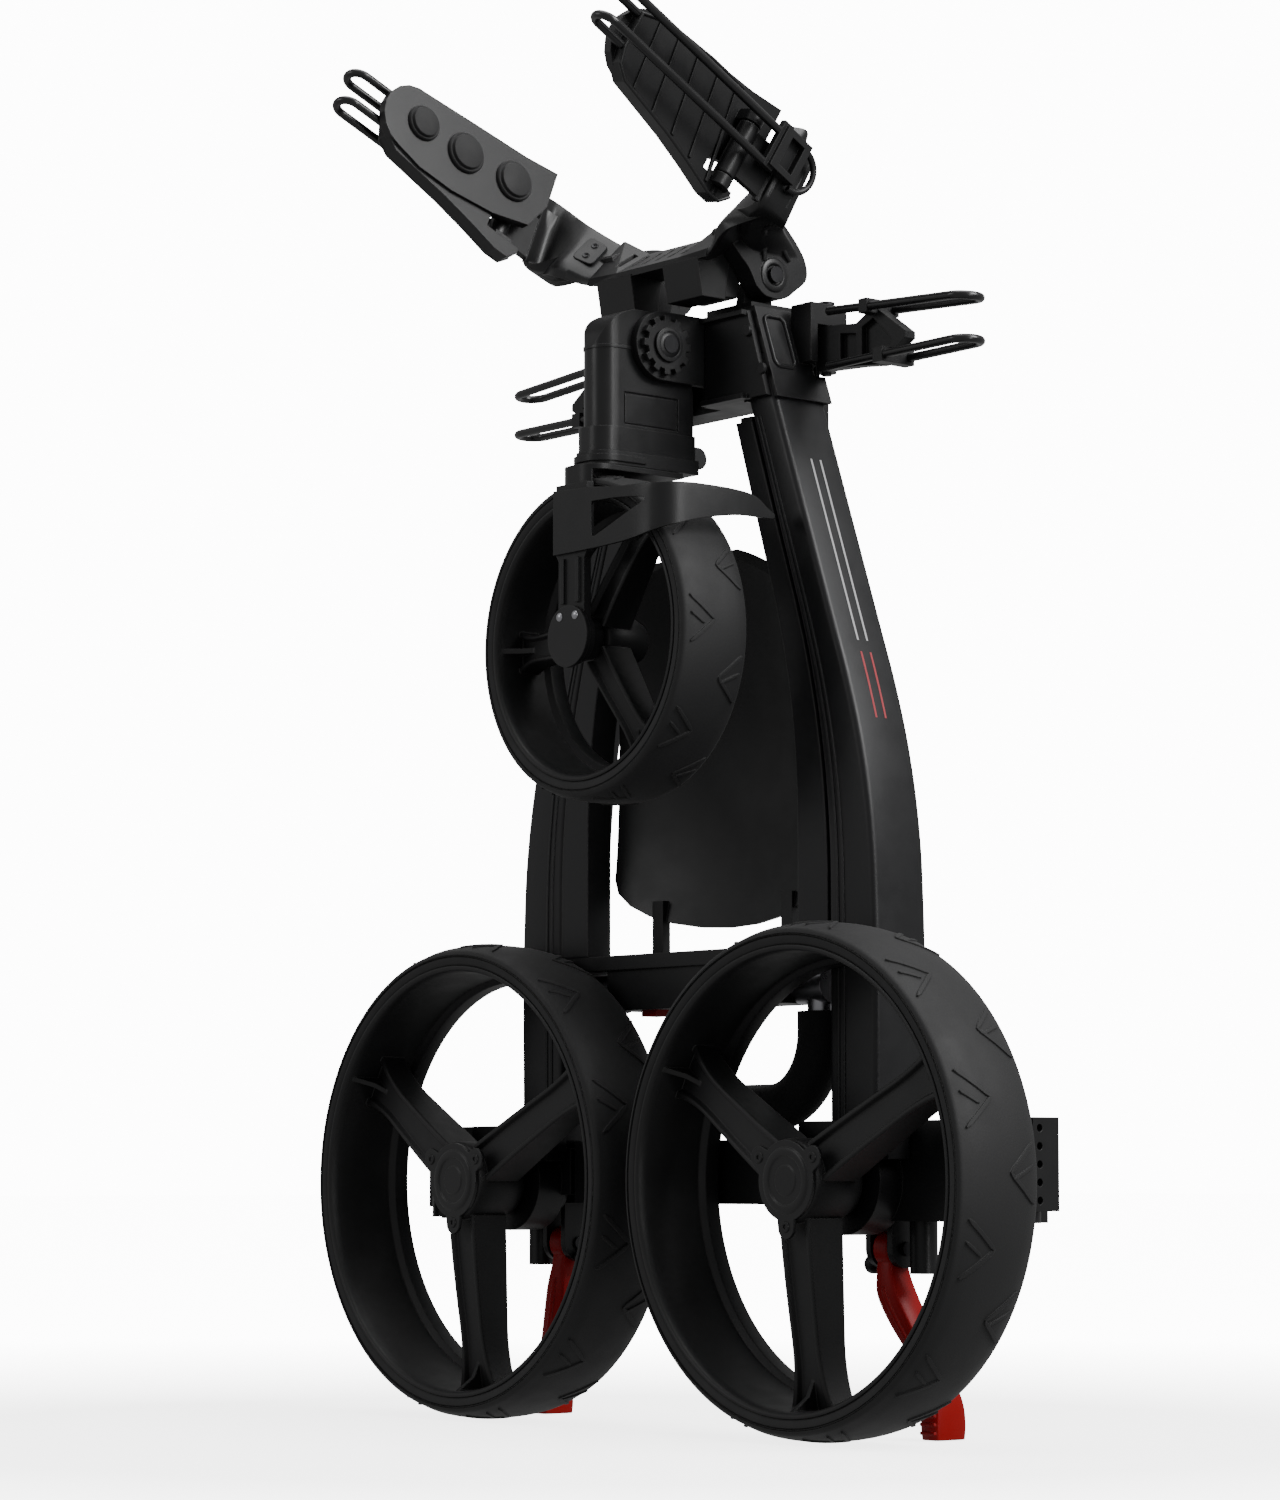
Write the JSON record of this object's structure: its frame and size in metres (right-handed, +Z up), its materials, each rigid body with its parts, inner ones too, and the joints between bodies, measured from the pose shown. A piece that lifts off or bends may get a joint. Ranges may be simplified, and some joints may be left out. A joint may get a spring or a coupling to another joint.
{
  "type": "golf push cart, folded",
  "caption": "Folded golf push cart standing on its flat-folded rear wheels, with a jointed frame, brake levers, handle, front wheel and bag cradle.",
  "frame": {"origin": "middle of the cart's footprint on the floor, as it stands folded", "axes": "+Z up, -Y towards the side the folded wheels face, +X towards the right wheel seen from that side"},
  "size_m": [0.605, 0.2308, 0.8274],
  "materials": {
    "black_plastic": "satin moulded",
    "charcoal_aluminium": "satin powder coat",
    "rim_plastic": "fine texture",
    "tyre_rubber": "matte",
    "soft_rubber": "matte",
    "red_plastic": "gloss",
    "steel": "zinc plated"
  },
  "bodies": {
    "frame": {"axle_beam": "black_plastic", "fold_pins": "steel", "end_plates": "black_plastic", "lever_pins": "steel", "rail_left": "charcoal_aluminium", "rail_right": "charcoal_aluminium", "top_sleeve_left": "black_plastic", "top_sleeve_right": "black_plastic", "top_crossbar": "black_plastic", "crossbar_cover": "black_plastic", "crossbar_bolts": "steel", "lock_disc": "black_plastic", "hinge_bolt": "steel", "cradle_base": "black_plastic", "cradle_pins": "steel", "wing_pins": "steel"},
    "front_arm": {"front_arm": "black_plastic", "arm_collar": "black_plastic"},
    "fork": {"fork_bar": "black_plastic", "wheel_guard": "black_plastic", "front_hub_cover": "black_plastic", "front_axle": "steel"},
    "front_wheel": {"front_tyre": "tyre_rubber", "front_rim": "rim_plastic", "front_bearings": "steel"},
    "handle": {"handle_bars": "charcoal_aluminium", "console_tray": "black_plastic", "handle_crossbar": "black_plastic"},
    "grip": {"grip_foam": "soft_rubber", "grip_tube": "steel"},
    "release_button": {"release_button": "red_plastic"},
    "cradle": {"cradle_bridge": "black_plastic", "cradle_arm_left": "black_plastic", "cradle_arm_right": "black_plastic"},
    "wheel_bracket_left": {"knuckle_left": "black_plastic", "rear_axle_left": "steel"},
    "rear_wheel_left": {"rear_tyre_left": "tyre_rubber", "rear_rim_left": "rim_plastic", "hub_cap_left": "black_plastic", "rear_bearings_left": "steel"},
    "foot_lever_left": {"foot_lever_left": "red_plastic"},
    "bag_pad_left": {"bag_pad_left": "black_plastic", "pad_buttons_left": "soft_rubber", "strap_buckle_left": "black_plastic", "strap_wires_left": "soft_rubber"},
    "bag_wing_left": {"bag_wing_left": "black_plastic", "wing_wires_left": "soft_rubber"},
    "wheel_bracket_right": {"knuckle_right": "black_plastic", "rear_axle_right": "steel"},
    "rear_wheel_right": {"rear_tyre_right": "tyre_rubber", "rear_rim_right": "rim_plastic", "hub_cap_right": "black_plastic", "rear_bearings_right": "steel"},
    "foot_lever_right": {"foot_lever_right": "red_plastic"},
    "bag_pad_right": {"bag_pad_right": "black_plastic", "pad_buttons_right": "soft_rubber", "strap_buckle_right": "black_plastic", "strap_wires_right": "soft_rubber"},
    "bag_wing_right": {"bag_wing_right": "black_plastic", "wing_wires_right": "soft_rubber"}
  },
  "joints": [
    {"name": "bracket_fold_left", "type": "hinge", "parent": "frame", "child": "wheel_bracket_left", "pos_m": [-0.263, 0.07891, 0.1475], "axis": [0, 0, -1], "range_deg": [0, 90]},
    {"name": "rear_wheel_spin_left", "type": "hinge", "parent": "wheel_bracket_left", "child": "rear_wheel_left", "pos_m": [-0.155, 0.02891, 0.1475], "axis": [0, 1, 0], "continuous": true},
    {"name": "foot_lever_press_left", "type": "hinge", "parent": "frame", "child": "foot_lever_left", "pos_m": [-0.15, 0.08691, 0.10844], "axis": [1, 0, 0], "range_deg": [0, 30], "stiffness_Nm_per_rad": 4, "springref_deg": -28.65},
    {"name": "bag_pad_swing_left", "type": "hinge", "parent": "cradle", "child": "bag_pad_left", "pos_m": [-0.11302, 0.00665, 0.75485], "axis": [0.1486, -0.454, -0.8785], "range_deg": [-8, 1.5]},
    {"name": "bag_wing_swing_left", "type": "hinge", "parent": "frame", "child": "bag_wing_left", "pos_m": [-0.07901, 0.10291, 0.64544], "axis": [0, 0, -1], "range_deg": [-20, 45]},
    {"name": "bracket_fold_right", "type": "hinge", "parent": "frame", "child": "wheel_bracket_right", "pos_m": [0.263, 0.07891, 0.1475], "axis": [0, 0, 1], "range_deg": [0, 90]},
    {"name": "rear_wheel_spin_right", "type": "hinge", "parent": "wheel_bracket_right", "child": "rear_wheel_right", "pos_m": [0.155, 0.02891, 0.1475], "axis": [0, 1, 0], "continuous": true},
    {"name": "foot_lever_press_right", "type": "hinge", "parent": "frame", "child": "foot_lever_right", "pos_m": [0.15, 0.08691, 0.10844], "axis": [1, 0, 0], "range_deg": [0, 30], "stiffness_Nm_per_rad": 4, "springref_deg": -28.65},
    {"name": "bag_pad_swing_right", "type": "hinge", "parent": "cradle", "child": "bag_pad_right", "pos_m": [0.11302, 0.00665, 0.75485], "axis": [0.1486, 0.454, 0.8785], "range_deg": [-8, 1.5]},
    {"name": "bag_wing_swing_right", "type": "hinge", "parent": "frame", "child": "bag_wing_right", "pos_m": [0.07901, 0.10291, 0.64544], "axis": [0, 0, 1], "range_deg": [-20, 45]},
    {"name": "front_arm_fold", "type": "hinge", "parent": "frame", "child": "front_arm", "pos_m": [0, 0.02491, 0.64844], "axis": [-1, 0, 0], "range_deg": [0, 90]},
    {"name": "fork_turn", "type": "hinge", "parent": "front_arm", "child": "fork", "pos_m": [0, 0.00091, 0.56894], "axis": [0, 0, -1], "range_deg": [0, 90]},
    {"name": "front_wheel_spin", "type": "hinge", "parent": "fork", "child": "front_wheel", "pos_m": [0, 0.00091, 0.46894], "axis": [0, 1, 0], "continuous": true},
    {"name": "handle_unfold", "type": "hinge", "parent": "frame", "child": "handle", "pos_m": [0, 0.10841, 0.59744], "axis": [1, 0, 0], "range_deg": [0, 150]},
    {"name": "grip_tilt", "type": "hinge", "parent": "handle", "child": "grip", "pos_m": [0, 0.07891, 0.26244], "axis": [1, 0, 0], "range_deg": [0, 70]},
    {"name": "release_press", "type": "slide", "parent": "handle", "child": "release_button", "axis": [0, 0, 1], "range_m": [0, 0.004], "stiffness_N_per_m": 300, "springref_m": -0.006},
    {"name": "cradle_tilt", "type": "hinge", "parent": "frame", "child": "cradle", "pos_m": [0, 0.07691, 0.69204], "axis": [-1, 0, 0], "range_deg": [0, 35]}
  ],
  "couplings": [
    {"joint": "fork_turn", "follows": "front_arm_fold", "ratio": 1}
  ]
}
